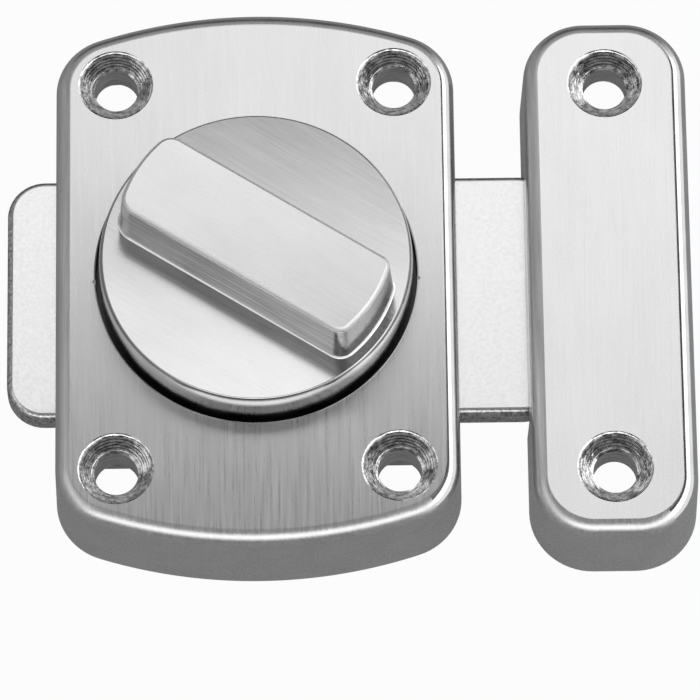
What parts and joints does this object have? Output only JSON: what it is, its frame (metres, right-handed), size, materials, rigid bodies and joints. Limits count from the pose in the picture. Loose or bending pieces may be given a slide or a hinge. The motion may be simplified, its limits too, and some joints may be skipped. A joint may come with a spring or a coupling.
{
  "type": "rotating door latch",
  "caption": "Surface-mounted door latch: turning the knob by its grip bar slides a flat bolt out of the housing and into a separate strike.",
  "frame": {"origin": "on the door's face, where the knob's axis meets it, at the centre of the housing's four screw holes", "axes": "+X the way the bolt shoots, towards the strike; +Y up the door; +Z out of the door, along the knob's axis"},
  "size_m": [0.0819, 0.0692, 0.0241],
  "materials": {
    "satin_casting": "satin nickel plate, brushed",
    "plated_plate": "bright zinc plate, tumbled",
    "plain_steel": "plain steel"
  },
  "bodies": {
    "mounting": {"housing": "satin_casting", "back_plate": "plated_plate", "plate_screw_1": "plain_steel", "plate_screw_2": "plain_steel", "plate_screw_3": "plain_steel", "plate_screw_4": "plain_steel", "strike": "satin_casting"},
    "turn": {"knob": "satin_casting", "crank_plate": "plain_steel", "drive_pin": "plain_steel", "wave_washer": "plain_steel", "hub_screw": "plain_steel"},
    "slider": {"bolt": "plated_plate"}
  },
  "joints": [
    {"name": "knob_turn", "type": "hinge", "parent": "mounting", "child": "turn", "pos_m": [0, 0, 0], "axis": [0, 0, 1], "range_deg": [-57.2, 32.8]},
    {"name": "bolt_slide", "type": "slide", "parent": "mounting", "child": "slider", "axis": [1, 0, 0], "range_m": [-0.0097, 0.00556]}
  ],
  "couplings": [
    {"joint": "bolt_slide", "follows": "knob_turn", "m_per_rad": 0.0097125}
  ]
}
